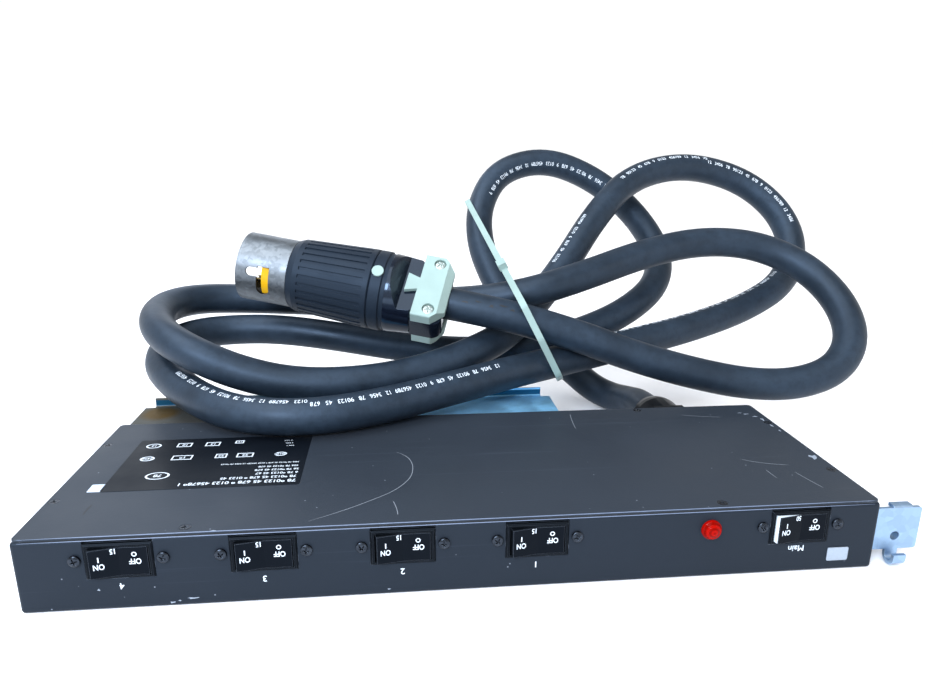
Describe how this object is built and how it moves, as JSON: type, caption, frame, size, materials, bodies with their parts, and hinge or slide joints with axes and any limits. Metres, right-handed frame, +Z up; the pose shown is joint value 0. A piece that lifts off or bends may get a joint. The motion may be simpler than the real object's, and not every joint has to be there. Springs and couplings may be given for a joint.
{
  "type": "rack power distribution unit",
  "caption": "Flat rack power distribution unit with rocker breakers and a pilot lamp on its front panel, outlets and a tray at the rear, and a tied input cord with a locking plug.",
  "frame": {"origin": "middle of the face the unit lies on", "axes": "+X along the front panel to the right, +Y to the rear, +Z up"},
  "size_m": [0.5607, 0.3942, 0.2162],
  "materials": {
    "panel_paint": "fine-textured dark slate powder coat",
    "cover_paint": "fine-textured dark grey powder coat",
    "breaker_plastic": "moulded black",
    "rocker_black": "satin black",
    "rocker_white": "white",
    "black_steel": "black oxide",
    "lens_red": "red, clear",
    "lamp_plastic": "moulded white",
    "zinc_steel": "bright zinc plate",
    "outlet_plastic": "moulded black",
    "contact_metal": "plain",
    "copper_bar": "plain",
    "gland_plastic": "moulded black",
    "strip_plastic": "moulded cream",
    "lead_black": "insulation",
    "lead_white": "insulation",
    "lead_green": "insulation",
    "cord_rubber": "matt",
    "tie_nylon": "natural",
    "plug_nickel": "nickel plate",
    "plug_brass": "plain",
    "plug_insulator": "moulded yellow",
    "plug_rubber": "ribbed black",
    "plug_gloss": "navy black",
    "clamp_nylon": "off-white",
    "clamp_steel": "plain"
  },
  "bodies": {
    "unit": {"chassis": "panel_paint", "cover_plate": "cover_paint", "main_breaker_case": "breaker_plastic", "branch_1_breaker_case": "breaker_plastic", "branch_2_breaker_case": "breaker_plastic", "branch_3_breaker_case": "breaker_plastic", "branch_4_breaker_case": "breaker_plastic", "breaker_screws": "black_steel", "cover_screws": "black_steel", "pilot_lens": "lens_red", "pilot_barrel": "lamp_plastic", "cord_tray": "zinc_steel", "mounting_bracket": "zinc_steel", "tray_screws": "zinc_steel", "bracket_screws": "zinc_steel", "earth_stud": "zinc_steel", "pilot_nut": "zinc_steel", "outlet_1": "outlet_plastic", "outlet_2": "outlet_plastic", "outlet_3": "outlet_plastic", "outlet_4": "outlet_plastic", "outlet_contacts": "contact_metal", "neutral_bar": "contact_metal", "earth_bar": "contact_metal", "breaker_bar": "copper_bar", "gland_body": "gland_plastic", "gland_nut": "gland_plastic", "gland_locknut": "gland_plastic", "terminal_strip": "strip_plastic", "line_leads": "lead_black", "lamp_leads": "lead_black", "neutral_leads": "lead_white", "earth_leads": "lead_green", "input_cord": "cord_rubber", "cable_tie": "tie_nylon", "plug_shell": "plug_nickel", "plug_blades": "plug_brass", "plug_core": "plug_insulator", "plug_body": "plug_rubber", "plug_ring": "plug_rubber", "plug_housing": "plug_gloss", "plug_clamp_front": "clamp_nylon", "plug_clamp_rear": "clamp_nylon", "plug_button": "clamp_nylon", "plug_clamp_screws": "clamp_steel"},
    "main_rocker": {"main_rocker_carrier": "rocker_white", "main_rocker_cap": "rocker_black"},
    "branch_1_rocker": {"branch_1_rocker_carrier": "rocker_white", "branch_1_rocker_cap": "rocker_black"},
    "branch_2_rocker": {"branch_2_rocker_carrier": "rocker_white", "branch_2_rocker_cap": "rocker_black"},
    "branch_3_rocker": {"branch_3_rocker_carrier": "rocker_white", "branch_3_rocker_cap": "rocker_black"},
    "branch_4_rocker": {"branch_4_rocker_carrier": "rocker_white", "branch_4_rocker_cap": "rocker_black"}
  },
  "joints": [
    {"name": "main_rocker_tip", "type": "hinge", "parent": "unit", "child": "main_rocker", "pos_m": [0.1744, -0.07201, 0.027], "axis": [0, 0, -1], "range_deg": [0, 11]},
    {"name": "branch_1_rocker_tip", "type": "hinge", "parent": "unit", "child": "branch_1_rocker", "pos_m": [0.0344, -0.07201, 0.027], "axis": [0, 0, -1], "range_deg": [0, 11]},
    {"name": "branch_2_rocker_tip", "type": "hinge", "parent": "unit", "child": "branch_2_rocker", "pos_m": [-0.0335, -0.07201, 0.027], "axis": [0, 0, -1], "range_deg": [0, 11]},
    {"name": "branch_3_rocker_tip", "type": "hinge", "parent": "unit", "child": "branch_3_rocker", "pos_m": [-0.1014, -0.07201, 0.027], "axis": [0, 0, -1], "range_deg": [0, 11]},
    {"name": "branch_4_rocker_tip", "type": "hinge", "parent": "unit", "child": "branch_4_rocker", "pos_m": [-0.1693, -0.07201, 0.027], "axis": [0, 0, -1], "range_deg": [0, 11]}
  ]
}
